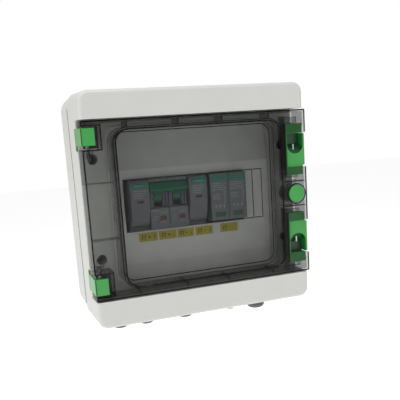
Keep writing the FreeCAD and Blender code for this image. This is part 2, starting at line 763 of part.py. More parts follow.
def fuse_holder(where, left):
    """A fuse base on the rail, its swinging carrier, the fuse link and the indicator lens."""
    middle, right = left + s.fuse_width * 0.5, left + s.fuse_width
    base = new_body(f"fuse_base_{where}")
    add(base, "across", left, right, module_profile(s.panel_rise + 1.0))
    cut(base, "out", 26.0, s.panel_rise + 2.0, rectangle(middle - 6.9, -19.4, middle + 6.9, 21.6))
    pivot_y, pivot_z = -s.carrier_pivot_rise, -s.carrier_pivot_drop
    cut(base, "across", left - 1.0, right + 1.0, circle(pivot_y, pivot_z, 2.3))
    terminal_holes(base, [middle])

    carrier = new_body(f"fuse_carrier_{where}")
    front = s.case_depth - 26.6
    gap = s.panel_rise + 1.3
    add(carrier, "across", left + 0.3, right - 0.3, polygon([
        (-gap, 22.1), (-front + 3.4, 22.1), (-front + 1.0, 20.8), (-front, 18.4), (-front, -2.5),
        (-front + 5.0, -17.2), (-gap, -20.2)]))
    soften(carrier, 0.8, lambda e: e.BoundBox.XLength < 0.01 and e.BoundBox.Center.y < -float(front) + 6.0)
    add(carrier, "out", 30.0, gap + 0.3, rectangle(middle - 6.4, -17.0, middle + 6.4, 18.6))
    add(carrier, "across", left + 0.3, right - 0.3, circle(pivot_y, pivot_z, 1.9))
    cut(carrier, "up", sized(-18.0), sized(19.5), circle(middle, -38.0, 5.2))
    cut(carrier, "out", front - 1.4, front + 1.0, rectangle(middle - 3.2, 1.7, middle + 3.2, 4.3))
    cut(carrier, "out", 29.0, 38.0, rectangle(middle - 5.2, -18.0, middle + 5.2, 19.5))

    link = new_body(f"fuse_link_{where}")
    add(link, "up", sized(-16.6), sized(18.2), circle(middle, -38.0, 4.75))
    add(link, "up", sized(-16.7), sized(-8.0), circle(middle, -38.0, 5.1))
    add(link, "up", sized(9.6), sized(18.3), circle(middle, -38.0, 5.1))

    lens = new_body(f"fuse_lens_{where}")
    add(lens, "out", front - 1.4, front - 0.3, rectangle(middle - 3.1, 1.8, middle + 3.1, 4.2))
    return middle


def breaker():
    left = -s.breaker_left_edge
    right = left + s.breaker_width
    poles = [left + s.breaker_width * 0.25, left + s.breaker_width * 0.75]
    body = new_body("breaker_body")
    step = s.case_depth - 29.5
    recess = s.case_depth - 33.5
    add(body, "across", left, right, module_profile(step))
    cut(body, "out", recess, step + 1.0, rectangle(left - 1.0, -4.4, right + 1.0, 19.8))
    soften(body, 0.6, lambda e: e.BoundBox.XLength > 30 and e.BoundBox.Center.y < -float(recess) + 0.05
           and abs(e.BoundBox.Center.z) < 23)
    cut(body, "out", step - 2.0, step + 1.0, rectangle(left - 1.0, -26.0, right + 1.0, -21.4))
    channels = [rectangle(x - 4.3, -3.6, x + 4.3, 18.0) for x in poles]
    cut(body, "out", s.toggle_rise - 9.0, step + 1.0, *channels)
    windows = [rectangle(x - 0.2, -15.6, x + 5.6, -11.6) for x in poles]
    cut(body, "out", step - 1.5, step + 1.0, *windows)
    middle = left + s.breaker_width * 0.5
    cut(body, "out", s.module_shoulder, step + 1.0, rectangle(middle - 0.25, -26.0, middle + 0.25, 24.0))
    plates = [rounded(x - 6.6, -18.2, x - 1.4, -8.0, 0.6) for x in poles]
    cut(body, "out", step - 0.5, step + 1.0, *plates)
    terminal_holes(body, poles)

    flags = new_body("breaker_flags")
    add(flags, "out", step - 1.5, step - 0.4, *[rectangle(x - 0.1, -15.5, x + 5.5, -11.7) for x in poles])
    toggle(poles)
    return poles


def toggle(poles):
    """Two rotors joined by one bar through tapering levers, in the on position."""
    body = new_body("breaker_toggle")
    up, rise = float(s.toggle_up), float(s.toggle_rise)
    for x in poles:
        add(body, "across", x - 3.6, x + 3.6, circle(-s.toggle_rise, s.toggle_up, 6.6))
    lean, length = math.atan2(8.5, 10.5), math.hypot(8.5, 10.5)

    def corner(reach, aside):
        """A point of the side view: out along the lever from the pivot, and to either side of it."""
        return (-rise - reach * math.cos(lean) + aside * math.sin(lean),
                up + reach * math.sin(lean) + aside * math.cos(lean))

    near, far = length - 1.2, length + 2.4
    section = [corner(near, -4.2), corner(far - 0.8, -4.6), corner(far, -3.6), corner(far, 3.2),
               corner(far - 1.0, 4.2), corner(near, 3.4)]
    add(body, "across", poles[0] - 8.5, poles[1] + 8.5, polygon(section))
    steps = ((1.5, 6.7, 3.4, -3.2, 3.2), (6.5, 9.8, 4.0, -3.3, 3.3),
             (9.6, 11.1, 5.4, -3.4, 0.6), (10.9, 12.5, 6.8, -3.8, 1.6))
    for start, end, wide, under, over in steps:
        side = polygon([corner(start, under), corner(end, under), corner(end, over), corner(start, over)])
        for x in poles:
            add(body, "across", x - wide, x + wide, side)


def surge_protector():
    """A two-pole base with two plug-in cartridges and their state flags."""
    left = sized(s.surge_left_edge)
    right = left + s.surge_width
    width = s.surge_width * 0.5
    middles = [left + width * 0.5, left + width * 1.5]
    base = new_body("surge_base")
    add(base, "across", left, right, module_profile(s.module_shoulder + 1.0))
    cut(base, "out", 28.0, s.module_shoulder + 3.0, rectangle(left - 1.0, -22.4, right + 1.0, 22.4))
    terminal_holes(base, middles)
    for where, middle in zip(("left", "right"), middles):
        front = s.case_depth - 29.5
        body = new_body(f"surge_cartridge_{where}")
        add(body, "out", sized(30.0), front,
            rectangle(middle - width * 0.5 + 0.15, -22.1, middle + width * 0.5 - 0.15, 22.1))
        soften(body, 0.6, at_rise(front))
        cut(body, "out", front - 1.4, front + 1.0, rectangle(middle - 5.2, -18.8, middle + 5.2, -14.0))
        cut(body, "out", front - 0.5, front + 1.0, rounded(middle - 7.6, -12.4, middle + 7.6, 14.4, 1.0))
        flag = new_body(f"surge_flag_{where}")
        add(flag, "out", front - 1.4, front - 0.4, rectangle(middle - 5.1, -18.7, middle + 5.1, -14.1))
    return middles


# ---------------------------------------------------------------- glands, earth bar and wiring

def gland_set(name, places, thread, flats, dome, low):
    """Compression glands: body, sealing ring, lock nut, rubber insert and dome nut."""
    y, wall = -s.gland_rise, -half_height
    inside = wall + s.wall_thick
    bore = thread * 0.62
    body = new_body(f"gland_bodies_{name}")
    add(body, "up", wall - 6.0, wall - 1.0, *[hexagon(x, y, flats) for x in places])
    add(body, "up", wall - 1.0, inside + 7.0, *[circle(x, y, thread) for x in places])
    add(body, "up", wall - 15.0, wall - 6.0, *[circle(x, y, thread) for x in places])
    cut(body, "up", wall - 16.0, inside + 8.0, *[circle(x, y, bore) for x in places])
    ring = new_body(f"gland_rings_{name}")
    add(ring, "up", wall - 1.0, wall, *[circle(x, y, flats / 2 - 0.3) for x in places])
    cut(ring, "up", wall - 2.0, wall + 1.0, *[circle(x, y, thread) for x in places])
    lock = new_body(f"gland_locknuts_{name}")
    add(lock, "up", inside, inside + 4.0, *[hexagon(x, y, flats) for x in places])
    cut(lock, "up", inside - 1.0, inside + 5.0, *[circle(x, y, thread) for x in places])
    nut = new_body(f"gland_nuts_{name}")
    add(nut, "up", low, wall - 7.6, *[circle(x, y, dome) for x in places])
    soften(nut, dome * 0.42, lambda e: e.BoundBox.ZLength < 0.01
           and abs(e.BoundBox.ZMin - float(low)) < 0.05)
    cut(nut, "up", low + 3.4, wall - 7.0, *[circle(x, y, thread) for x in places])
    cut(nut, "up", low - 1.0, low + 4.0, *[circle(x, y, bore + 0.3) for x in places])
    seal = new_body(f"gland_seals_{name}")
    add(seal, "up", low + 3.4, wall - 15.0, *[circle(x, y, thread - 0.1) for x in places])
    cut(seal, "up", low + 2.0, wall - 14.0, *[circle(x, y, bore + 0.1) for x in places])


def earth_bar():
    """A brass earth bar on two feet, with its clamp screws."""
    middle, z = 36.0, s.earth_bar_up
    ends = [middle - 22.0, middle + 22.0]
    clamps = [middle - 12.0, middle, EARTH_CLAMP]
    feet = new_body("earth_bar_feet")
    add(feet, "out", s.wall_thick, 12.0, *[rounded(x - 4.0, z - 4.5, x + 4.0, z + 4.5, 1.5) for x in ends])
    bar = new_body("earth_bar")
    add(bar, "out", sized(12.0), sized(20.0), rectangle(middle - 28.0, z - 4.0, middle + 28.0, z + 4.0))
    cut(bar, "up", z - 5.0, z + 5.0, *[circle(x, -16.0, 2.5) for x in clamps])
    screws = new_body("earth_bar_screws")
    places = [(x, z) for x in clamps + ends]
    add(screws, "out", sized(20.0), sized(22.4), *circles(places, 2.9))
    soften(screws, 0.5, at_rise(22.4))
    cut(screws, "out", sized(21.2), sized(23.0), *slots(places, 2.3, 0.4))


def wire(name, stops):
    """An insulated lead: straight runs joined by arcs as large as the runs allow."""
    radius = float(s.wire_radius)
    points = [vector(*stop) for stop in stops]
    edges, here = [], points[0]
    for before, corner, after in zip(points, points[1:], points[2:]):
        into, away = (corner - before).normalize(), (after - corner).normalize()
        reach = 0.45 * min((corner - before).Length, (after - corner).Length)
        half_turn = into.getAngle(away) / 2
        bend = reach / math.tan(half_turn)
        start, end = corner - into * reach, corner + away * reach
        centre = corner + (away - into).normalize() * (bend / math.cos(half_turn))
        halfway = centre + (corner - centre).normalize() * bend
        edges += [Part.LineSegment(here, start).toShape(), Part.Arc(start, halfway, end).toShape()]
        here = end
    edges.append(Part.LineSegment(here, points[-1]).toShape())
    path = Part.Wire(edges)
    profile = Part.Wire([Part.makeCircle(radius, points[0], points[1] - points[0])])
    feature = doc.addObject("Part::Feature", name)
    feature.Shape = path.makePipeShell([profile], True, False)
    feature.Label = name
    feature.Placement = FreeCAD.Placement()
    swept = math.pi * radius ** 2 * path.Length
    if abs(feature.Shape.Volume / swept - 1) > 0.02:
        raise ValueError(f"{name}: the sweep is not a plain tube")
    nodes.append(feature)


def wiring(fuses, poles, surge):
    """Leads from fuses to breaker, from breaker to surge protector, and from there to earth."""
    y, inlet = -34.5, float(s.module_half) - 5.0
    fuses, poles, surge = ([float(x) for x in group] for group in (fuses, poles, surge))
    above, below, deeper = inlet + 21.0, -inlet - 17.0, -inlet - 27.0
    for name, start, end in (("positive", fuses[0], poles[0]), ("negative", fuses[1], poles[1])):
        wire(f"wire_{name}_feed", [(start, y, inlet), (start, y, above), (end, y, above), (end, y, inlet)])
    wire("wire_negative_surge", [(poles[1], y, -inlet), (poles[1], y, below), (surge[0], y, below),
                                 (surge[0], y, -inlet)])
    wire("wire_positive_surge", [(poles[0], y, -inlet), (poles[0], y, deeper), (surge[1], y, deeper),
                                 (surge[1], y, -inlet)])
    clamp = float(s.earth_bar_up)
    wire("wire_earth", [(EARTH_CLAMP, y, inlet), (EARTH_CLAMP, y, inlet + 11.0),
                        (EARTH_CLAMP, -16.0, clamp - 14.0), (EARTH_CLAMP, -16.0, clamp)])


# ---------------------------------------------------------------- build and write

def build():
    base_casing()
    front_shell()
    base_seal()
    cover_screws()
    dead_front()
    circuit_labels()
    drain_plug()
    for where, side in SIDES.items():
        hinge_clip(where, side)
        latch(where, side)
        latch_pin(where, side)
        latch_plate(where, side)
    hinge_pins()
    door()
    door_seal()
    latch_keepers()
    release_button()
    button_retainer()
    button_spring()
    din_rail()
    rail_screws()
    fuses = [fuse_holder("left", -s.fuse_left_edge), fuse_holder("right", -s.fuse_right_edge)]
    poles, surge = breaker(), surge_protector()
    terminal_screws(fuses + poles + surge)
    gland_set("small", GLAND_PLACES, 6.0, 15.0, 7.3, sized(-122.6))
    gland_set("large", (LARGE_GLAND_PLACE,), 8.0, 19.0, 9.2, sized(-125.4))
    earth_bar()
    wiring(fuses, poles, surge)


build()
doc.recompute()
for item in doc.Objects:
    if {"Invalid", "Error"} & set(item.State):
        raise ValueError(f"{item.Label} failed: {item.State}")
os.makedirs("parts", exist_ok=True)
for node in nodes:
    if node.Shape.isNull() or not node.Shape.isValid():
        raise ValueError(f"{node.Label} has no valid shape")
    node.Shape.exportStep(f"parts/{node.Label}.step")
print(len(nodes), "nodes written")
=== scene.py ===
import json
import math

import bmesh
import bpy
from mathutils import Euler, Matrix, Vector


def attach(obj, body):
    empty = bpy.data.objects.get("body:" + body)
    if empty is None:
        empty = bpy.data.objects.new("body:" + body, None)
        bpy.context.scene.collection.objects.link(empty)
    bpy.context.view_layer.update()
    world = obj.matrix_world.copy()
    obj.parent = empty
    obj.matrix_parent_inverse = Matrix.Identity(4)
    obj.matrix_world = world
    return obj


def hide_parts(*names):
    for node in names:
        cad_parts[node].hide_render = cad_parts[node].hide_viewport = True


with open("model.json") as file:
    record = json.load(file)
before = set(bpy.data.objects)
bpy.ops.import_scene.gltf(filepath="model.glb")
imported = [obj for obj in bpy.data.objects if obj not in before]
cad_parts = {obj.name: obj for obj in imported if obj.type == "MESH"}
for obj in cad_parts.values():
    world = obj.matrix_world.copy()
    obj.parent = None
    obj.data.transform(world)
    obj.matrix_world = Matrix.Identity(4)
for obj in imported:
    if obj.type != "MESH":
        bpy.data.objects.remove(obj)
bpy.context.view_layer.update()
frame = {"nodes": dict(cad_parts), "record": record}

MM = 0.001
NODES = frame["nodes"]
BODY_OF = {node: body for body, members in frame["record"]["behaviour"]["bodies"].items()
           for node in members}
SLOT_OF = {entry["node"]: entry["material_slot"] for entry in frame["record"]["subparts"]}

# Places on the box, in millimetres: x to the right, z up, and rise is the distance from the wall.
FUSE_MIDDLES = {"left": -50.4, "right": 5.1}
POLE_MIDDLES = (-32.1, -14.1)
SURGE_MIDDLES = {"left": 27.05, "right": 45.35}
LABEL_SPANS = ((-51.8, -34.0), (-32.5, -15.5), (-14.4, 1.8), (3.4, 20.8), (29.0, 47.2))
BLANK_SPANS = ((56.3, 65.6), (66.6, 75.4))
FUSE_FRONT, DEVICE_FRONT, LABEL_FRONT, PANEL_FRONT, DOOR_FRONT = 70.4, 67.5, 59.4, 59.0, 97.0
GLAND_RISE, TERMINAL_RISE, LINK_RISE = 26.0, 34.5, 38.0
# the door's left, low, right and top edges; its sunk window's edges and corner radius
DOOR_EDGES = (-101.6, -75.1, 103.3, 75.9)
WINDOW = (-73.2, -66.9, 78.0, 66.9, 11.0)
# near and far height of the openings for the hinge clips, and their right edge
CLIP_OPENING = (52.5, 71.5, -86.0)
LATCH_WINDOWS = ((-57.1, -26.4), (24.0, 54.7))
BUTTON = (92.5, -0.8)
# per size: middles, dome radius, lowest point, thread radius and number of grip flutes
GLANDS = {"small": ((-70.0, -43.3, -2.5), 7.3, -122.6, 6.0, 20),
          "large": ((77.0,), 9.2, -125.4, 8.0, 24)}


# ---------------------------------------------------------------- shader helpers

def new_material(name):
    """An empty node material and its tree, with an output."""
    material = bpy.data.materials.new(name)
    material.use_nodes = True
    tree = material.node_tree
    tree.nodes.clear()
    output = tree.nodes.new("ShaderNodeOutputMaterial")
    return material, tree, output


def add_node(tree, kind, values=None, **settings):
    """A node with its properties and unlinked inputs set; an input given as a socket is linked."""
    node = tree.nodes.new(kind)
    for key, value in settings.items():
        setattr(node, key, value)
    for key, value in (values or {}).items():
        if isinstance(value, bpy.types.NodeSocket):
            tree.links.new(value, node.inputs[key])
        else:
            node.inputs[key].default_value = value
    return node


def place(tree, stretch=(1.0, 1.0, 1.0)):
    """Object coordinates in metres, stretched if asked."""
    coordinates = add_node(tree, "ShaderNodeTexCoord")
    if stretch == (1.0, 1.0, 1.0):
        return coordinates.outputs["Object"]
    mapping = add_node(tree, "ShaderNodeMapping", {"Vector": coordinates.outputs["Object"]})
    mapping.inputs["Scale"].default_value = stretch
    return mapping.outputs["Vector"]


def noise(tree, vector, size, detail=2.0, roughness=0.5):
    """Noise whose features are about size metres across."""
    node = add_node(tree, "ShaderNodeTexNoise", {"Vector": vector, "Scale": 1.0 / size, "Detail": detail,
                                                 "Roughness": roughness})
    return node.outputs["Fac"]


def spread(tree, factor, low, high, start=0.3, end=0.7):
    """Maps a factor between start and end to the range from low to high."""
    node = add_node(tree, "ShaderNodeMapRange", {"Value": factor, "From Min": start, "From Max": end,
                                                 "To Min": low, "To Max": high})
    return node.outputs["Result"]


WHITE = (1.0, 1.0, 1.0, 1.0)
# sockets of a Mix node that mixes colours
MIX_FACTOR, MIX_FIRST, MIX_SECOND, MIX_RESULT = 0, 6, 7, 2


def mix_colours(tree, factor, first, second):
    """Goes from the first colour to the second; each may be a socket."""
    node = add_node(tree, "ShaderNodeMix", {MIX_FACTOR: factor, MIX_FIRST: first, MIX_SECOND: second},
                    data_type="RGBA")
    return node.outputs[MIX_RESULT]


def blend_colour(tree, factor, dark, light):
    """Goes from the dark to the light colour as the factor rises."""
    return mix_colours(tree, factor, (*dark, 1.0), (*light, 1.0))


def bump(tree, height, strength, distance, below=None):
    """A normal that follows a height, on top of another bump if one is given."""
    node = add_node(tree, "ShaderNodeBump", {"Height": height, "Strength": strength, "Distance": distance})
    if below is not None:
        tree.links.new(below, node.inputs["Normal"])
    return node.outputs["Normal"]


def shade(colour, factor):
    """The colour made darker or lighter."""
    return tuple(min(1.0, channel * factor) for channel in colour)


# ---------------------------------------------------------------- materials

def plastic(name, colour, roughness, grain=0.35 * MM, depth=0.012 * MM, mottle=0.03, coat=0.0, shade_zone=None):
    """Moulded plastic: grain, faint flow mottling and uneven gloss, and painted shade as a darker second
    tone in a zone.
    """
    material, tree, output = new_material(name)
    where = place(tree)
    fine = noise(tree, where, grain, detail=3.0)
    broad = noise(tree, where, 24 * MM, detail=4.0)
    smudge = noise(tree, where, 7 * MM, detail=5.0, roughness=0.65)
    tint = blend_colour(tree, spread(tree, broad, 0.0, 1.0), shade(colour, 1 - mottle),
                        shade(colour, 1 + mottle))
    if shade_zone is not None:
        shade_mask_of, second = shade_zone
        tint = mix_colours(tree, shade_mask_of(tree, where), tint, (*second, 1.0))
    gloss = spread(tree, smudge, roughness * 0.86, roughness * 1.14)
    waves = bump(tree, noise(tree, where, 9 * MM, detail=1.0), 0.35, 0.02 * MM)
    normal = bump(tree, fine, 0.8, depth, waves)
    surface = add_node(tree, "ShaderNodeBsdfPrincipled", {
        "Base Color": tint, "Roughness": gloss, "Normal": normal, "IOR": 1.5, "Coat Weight": coat,
        "Coat Roughness": 0.12})
    tree.links.new(surface.outputs["BSDF"], output.inputs["Surface"])
    return material


def past(tree, value, edge, blur=0.25 * MM):
    """Rises from nought to one as the value passes the edge."""
    return spread(tree, value, 0.0, 1.0, edge - blur, edge + blur)


def combine(tree, operation, first, second):
    """The result of one sum on two values."""
    return add_node(tree, "ShaderNodeMath", {0: first, 1: second}, operation=operation).outputs["Value"]


def scoop_painted_shade(tree, where):
    """Painted shade inside a latch's deep scoop: behind its face and to the left of its flange."""
    axes = add_node(tree, "ShaderNodeSeparateXYZ", {"Vector": where})
    behind = past(tree, axes.outputs["Y"], -94.2 * MM)
    inner = combine(tree, "SUBTRACT", 1.0, past(tree, axes.outputs["X"], 101.3 * MM))
    return combine(tree, "MULTIPLY", behind, inner)


def sloping_painted_shade(tree, where):
    """Painted shade on the faces of the panel that fall away above its flat middle and, more faintly, below
    it.
    """
    axes = add_node(tree, "ShaderNodeSeparateXYZ", {"Vector": where})
    above = past(tree, axes.outputs["Z"], 31.5 * MM, 0.6 * MM)
    below = combine(tree, "SUBTRACT", 1.0, past(tree, axes.outputs["Z"], -54.7 * MM, 0.6 * MM))
    return combine(tree, "ADD", above, combine(tree, "MULTIPLY", 0.3, below))


def metal(name, colour, roughness, brushed=(1.0, 1.0, 1.0), stain=0.12):
    """Plated or machined metal: fine lines along one direction and a little dulling."""
    material, tree, output = new_material(name)
    lines = noise(tree, place(tree, brushed), 0.5 * MM, detail=4.0)
    dull = noise(tree, place(tree), 3.5 * MM, detail=5.0, roughness=0.6)
    tint = blend_colour(tree, spread(tree, dull, 0.0, 1.0), shade(colour, 1 - stain), shade(colour, 1.04))
    gloss = spread(tree, dull, roughness * 0.75, roughness * 1.35)
    surface = add_node(tree, "ShaderNodeBsdfPrincipled", {
        "Base Color": tint, "Roughness": gloss, "Metallic": 1.0,
        "Normal": bump(tree, lines, 0.5, 0.01 * MM)})
    tree.links.new(surface.outputs["BSDF"], output.inputs["Surface"])
    return material


def rubber(name, colour):
    """Matt rubber with a dusty bloom."""
    material, tree, output = new_material(name)
    where = place(tree)
    bloom = noise(tree, where, 2.2 * MM, detail=6.0, roughness=0.7)
    tint = blend_colour(tree, spread(tree, bloom, 0.0, 1.0), shade(colour, 0.8), shade(colour, 1.9))
    surface = add_node(tree, "ShaderNodeBsdfPrincipled", {
        "Base Color": tint, "Roughness": spread(tree, bloom, 0.62, 0.85),
        "Normal": bump(tree, noise(tree, where, 0.25 * MM, detail=3.0), 0.6, 0.02 * MM)})
    tree.links.new(surface.outputs["BSDF"], output.inputs["Surface"])
    return material


def smoked(name, tint, smoke, gloss, shine=(0.012, 0.3)):
    """Smoked clear plastic: each face tints what is behind it and mirrors a little of the room."""
    material, tree, output = new_material(name)
    where = place(tree)
    haze = noise(tree, where, 18 * MM, detail=4.0, roughness=0.6)
    waves = bump(tree, noise(tree, where, 30 * MM, detail=1.0), 0.5, 0.03 * MM)
    veil = blend_colour(tree, spread(tree, haze, 0.0, 1.0), shade(tint, 0.96), tint)
    clear = add_node(tree, "ShaderNodeBsdfTransparent", {"Color": veil})
    sheen = add_node(tree, "ShaderNodeBsdfGlossy", {
        "Color": WHITE, "Roughness": spread(tree, haze, gloss * 0.6, gloss * 1.6),
        "Normal": waves})
    facing = add_node(tree, "ShaderNodeLayerWeight", {"Blend": 0.5}).outputs["Facing"]
    steep = combine(tree, "POWER", facing, 5.0)
    mix = add_node(tree, "ShaderNodeMixShader", {"Fac": spread(tree, steep, *shine, 0.0, 1.0)})
    tree.links.new(clear.outputs["BSDF"], mix.inputs[1])
    tree.links.new(sheen.outputs["BSDF"], mix.inputs[2])
    tree.links.new(mix.outputs["Shader"], output.inputs["Surface"])
    body = add_node(tree, "ShaderNodeVolumeAbsorption", {"Color": (0.0, 0.0, 0.0, 1.0), "Density": smoke})
    tree.links.new(body.outputs["Volume"], output.inputs["Volume"])
    return material


def earth_insulation(name):
    """Green insulation with a yellow stripe on one side of the lead."""
    material, tree, output = new_material(name)
    where = place(tree)
    bands = add_node(tree, "ShaderNodeTexWave", {"Vector": where, "Scale": 34.0, "Distortion": 0.6},
                     wave_type="BANDS", bands_direction="DIAGONAL")
    tint = blend_colour(tree, spread(tree, bands.outputs["Fac"], 0.0, 1.0, 0.48, 0.52),
                        (0.02, 0.19, 0.04), (0.66, 0.56, 0.03))
    surface = add_node(tree, "ShaderNodeBsdfPrincipled", {
        "Base Color": tint, "Roughness": spread(tree, noise(tree, where, 2 * MM), 0.28, 0.42)})
    tree.links.new(surface.outputs["BSDF"], output.inputs["Surface"])
    return material


def make_materials():
    grey, panel = (0.565, 0.57, 0.54), (0.60, 0.60, 0.575)
    fine = 0.2 * MM
    return {
        "shell_plastic": plastic("shell_plastic", grey, 0.42, mottle=0.012),
        "panel_plastic": plastic("panel_plastic", panel, 0.5, mottle=0.012),
        # the dead front's face, with painted shade darkening the slopes above and below its flat middle
        "panel_face_painted_shade": plastic("panel_face_painted_shade", (0.93, 0.93, 0.92), 0.5, mottle=0.012,
                              shade_zone=(sloping_painted_shade, (0.68, 0.685, 0.68))),
        "smoked_polycarbonate": smoked("smoked_polycarbonate", (0.77, 0.775, 0.77), 30.0, 0.035),
        # a darker copy of the smoked plastic: painted shade for the black lines at the door's edges, rims
        # and ribs
        "smoked_edge_painted_shade": smoked("smoked_edge_painted_shade", (0.22, 0.23, 0.24), 30.0, 0.05, (0.008, 0.04)),
        "green_plastic": plastic("green_plastic", (0.032, 0.29, 0.05), 0.33, depth=0.006 * MM,
                                 mottle=0.06, coat=0.15),
        # the latches' green, with painted shade darkening the inside of the scoop
        "latch_green_scoop_shade": plastic("latch_green_scoop_shade", (0.032, 0.29, 0.05), 0.33, depth=0.006 * MM,
                               mottle=0.06, coat=0.1, shade_zone=(scoop_painted_shade, (0.003, 0.055, 0.012))),
        "seal_rubber": rubber("seal_rubber", (0.012, 0.012, 0.013)),
        "seal_silicone": rubber("seal_silicone", (0.26, 0.26, 0.25)),
        "zinc_steel": metal("zinc_steel", (0.68, 0.68, 0.66), 0.3, (1.0, 14.0, 14.0)),
        "black_steel": metal("black_steel", (0.15, 0.15, 0.155), 0.35, (1.0, 1.0, 12.0)),
        "brass": metal("brass", (0.76, 0.55, 0.24), 0.26, (1.0, 12.0, 12.0), stain=0.2),
        "module_grey": plastic("module_grey", (0.185, 0.20, 0.217), 0.46, grain=fine),
        "module_dark": plastic("module_dark", (0.085, 0.10, 0.11), 0.5, grain=fine),
        "toggle_green": plastic("toggle_green", (0.012, 0.20, 0.09), 0.3, depth=0.004 * MM, coat=0.2),
        "marker_yellow": plastic("marker_yellow", (0.62, 0.53, 0.012), 0.4, depth=0.004 * MM),
        "lens_red": plastic("lens_red", (0.17, 0.02, 0.025), 0.15, depth=0.001 * MM, coat=0.6),
        "flag_green": plastic("flag_green", (0.013, 0.11, 0.038), 0.3, depth=0.002 * MM, coat=0.4),
        "fuse_ceramic": plastic("fuse_ceramic", (0.84, 0.83, 0.78), 0.22, depth=0.002 * MM, coat=0.3),
        "gland_grey": plastic("gland_grey", (0.092, 0.095, 0.092), 0.42, grain=0.3 * MM),
        "wire_red": plastic("wire_red", (0.46, 0.02, 0.02), 0.33, depth=0.003 * MM),
        "wire_black": plastic("wire_black", (0.014, 0.014, 0.015), 0.35, depth=0.003 * MM),
        "wire_earth_green": earth_insulation("wire_earth_green"),
        "print_teal": plastic("print_teal", (0.03, 0.25, 0.17), 0.4, grain=fine, depth=0.002 * MM),
        "print_pale": plastic("print_pale", (0.42, 0.45, 0.48), 0.5, grain=fine, depth=0.002 * MM),
        # black for print, and for painted shade in gaps and seams
        "black_print_and_painted_shade": plastic("black_print_and_painted_shade", (0.02, 0.02, 0.02), 0.5, grain=fine, depth=0.002 * MM),
        # the seal lip's dark grey, which also paints the shade in the seam
        "seam_grey": rubber("seam_grey", (0.11, 0.11, 0.105)),
        "tin": metal("tin", (0.80, 0.80, 0.78), 0.22, (1.0, 1.0, 10.0)),
    }


# ---------------------------------------------------------------- mesh helpers

def apply_modifiers(piece):
    """Keeps the shape that the modifiers make, and drops the modifiers."""
    graph = bpy.context.evaluated_depsgraph_get()
    mesh = bpy.data.meshes.new_from_object(piece.evaluated_get(graph))
    piece.modifiers.clear()
    old = piece.data
    piece.data = mesh
    bpy.data.meshes.remove(old)


def new_piece(name, work):
    """Turns a worked mesh into an object of the scene."""
    mesh = bpy.data.meshes.new(name)
    work.to_mesh(mesh)
    work.free()
    piece = bpy.data.objects.new(name, mesh)
    bpy.context.scene.collection.objects.link(piece)
    return piece


def soften_edges(piece, width, segments=2, angle=32.0, edge_material=None):
    """Rounds the sharp edges of a piece and shades it smooth."""
    rounding = piece.modifiers.new("rounding", "BEVEL")
    rounding.width = width
    rounding.segments = segments
    rounding.limit_method = "ANGLE"
    rounding.angle_limit = math.radians(angle)
    rounding.miter_outer = "MITER_ARC"
    piece.modifiers.new("flatness", "WEIGHTED_NORMAL")
    if edge_material is not None:
        piece.data.materials.append(edge_material)
        rounding.material = len(piece.data.materials) - 1
    for polygon in piece.data.polygons:
        polygon.use_smooth = True
    apply_modifiers(piece)


# nodes whose material isn't their slot's own, two of them with painted shade, and nodes whose rounded edges
# get a darker copy of the smoked plastic, painted shade for their black edge lines
LOOKS = {"dead_front": "panel_face_painted_shade", "latch_upper": "latch_green_scoop_shade", "latch_lower": "latch_green_scoop_shade",
         "door_seal": "seal_silicone"}
EDGE_LOOKS = {"door": "smoked_edge_painted_shade", "latch_plate_upper": "smoked_edge_painted_shade", "latch_plate_lower": "smoked_edge_painted_shade"}


def moulded_copy(node, width, materials):
    """A copy of a node's shape with moulded, rounded edges, which stands for it."""
    work = bmesh.new()
    work.from_mesh(NODES[node].data)
    same_spot, same_plane = 0.002 * MM, math.radians(0.4)
    bmesh.ops.remove_doubles(work, verts=work.verts, dist=same_spot)
    bmesh.ops.dissolve_limit(work, angle_limit=same_plane, verts=work.verts, edges=work.edges)
    piece = new_piece(f"{node}_moulded", work)
    piece.data.materials.append(materials[LOOKS.get(node, SLOT_OF[node])])
    soften_edges(piece, width, edge_material=materials.get(EDGE_LOOKS.get(node)))
    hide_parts(node)
    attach(piece, BODY_OF[node])
    return piece


def detail_piece(name, body, work, material, width=0.03 * MM):
    """A piece added to the model: its edges are rounded and it rides a body."""
    bmesh.ops.recalc_face_normals(work, faces=work.faces)
    piece = new_piece(name, work)
    piece.data.materials.append(material)
    soften_edges(piece, width)
    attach(piece, body)
    return piece


# ---------------------------------------------------------------- printed marks

PRINT_LIFT, PRINT_SINK = 0.07, 0.05


def add_block(work, corners):
    """Adds a closed six-sided block; the first four corners are the front face in order."""
    verts = [work.verts.new([c * MM for c in corner]) for corner in corners]
    for face in ((0, 1, 2, 3), (7, 6, 5, 4), (0, 4, 5, 1), (1, 5, 6, 2), (2, 6, 7, 3), (3, 7, 4, 0)):
        work.faces.new([verts[i] for i in face])


def add_mark(work, x0, x1, z0, z1, rise, rise_top=None):
    """A thin raised print between x0 and x1, and z0 and z1, on a face that may lean back."""
    rise_top = rise if rise_top is None else rise_top
    front, back = PRINT_LIFT, -PRINT_SINK
    outline = ((x0, z0, rise), (x1, z0, rise), (x1, z1, rise_top), (x0, z1, rise_top))
    add_block(work, [(x, -(h + front), z) for x, z, h in outline]
              + [(x, -(h + back), z) for x, z, h in outline])


def slab(outline, front, back):
    """The corners of a block that has an outline of (x, z) points at two rises."""
    return [(x, -front, z) for x, z in outline] + [(x, -back, z) for x, z in outline]


def dashes(work, left, right, z, height, rise, pattern):
    """A row of short marks that fill the width in the proportions of the pattern, gaps between."""
    unit = (right - left) / sum(pattern)
    x = left
    for index, share in enumerate(pattern):
        if index % 2 == 0:
            add_mark(work, x, x + share * unit, z - height / 2, z + height / 2, rise)
        x += share * unit


FINE_PRINT = ((5, 1, 3, 1, 6), (3, 1, 7, 1, 2, 1, 2), (8, 1, 4, 2), (2, 1, 2, 1, 6, 1, 3))


